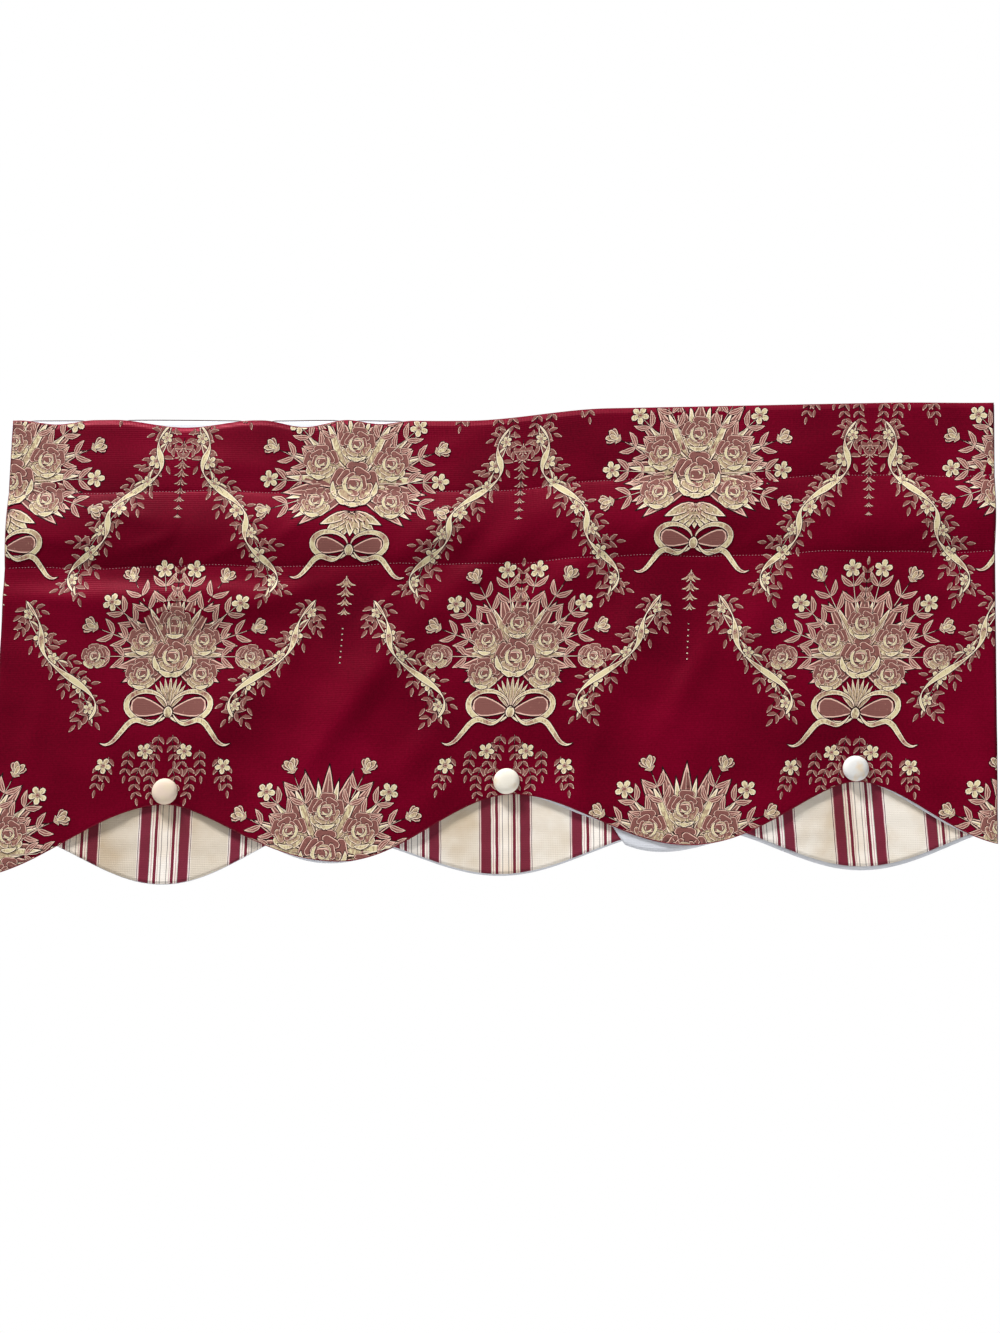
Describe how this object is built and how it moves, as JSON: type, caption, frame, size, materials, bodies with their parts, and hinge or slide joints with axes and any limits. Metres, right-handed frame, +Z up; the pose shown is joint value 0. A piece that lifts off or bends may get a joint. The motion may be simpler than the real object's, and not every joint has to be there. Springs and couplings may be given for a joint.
{
  "type": "window valance",
  "caption": "Lined window valance with a header, rod pocket and scalloped hem, striped inserts behind the arches of the hem and a covered button over each arch.",
  "frame": {"origin": "middle of the top edge, on the front of the face cloth", "axes": "+X along the top edge to the viewer's right, +Y from the face towards the window, +Z up"},
  "size_m": [1.0372, 0.0195, 0.4821],
  "materials": {
    "red_figured_cloth": "deep red cloth with a woven figure of flowers, ribbons and garlands in cream, tan and rose",
    "white_lining": "plain white cotton lining",
    "ivory_striped_cloth": "ivory cotton with woven stripes in dark red and grey-pink",
    "ivory_button_cloth": "ivory cloth drawn over a domed button"
  },
  "bodies": {
    "root": {"face_panel": "red_figured_cloth", "face_lining": "white_lining", "insert_left": "ivory_striped_cloth", "insert_middle": "ivory_striped_cloth", "insert_right": "ivory_striped_cloth", "insert_lining_left": "white_lining", "insert_lining_middle": "white_lining", "insert_lining_right": "white_lining", "button_left": "ivory_button_cloth", "button_middle": "ivory_button_cloth", "button_right": "ivory_button_cloth"}
  },
  "joints": []
}
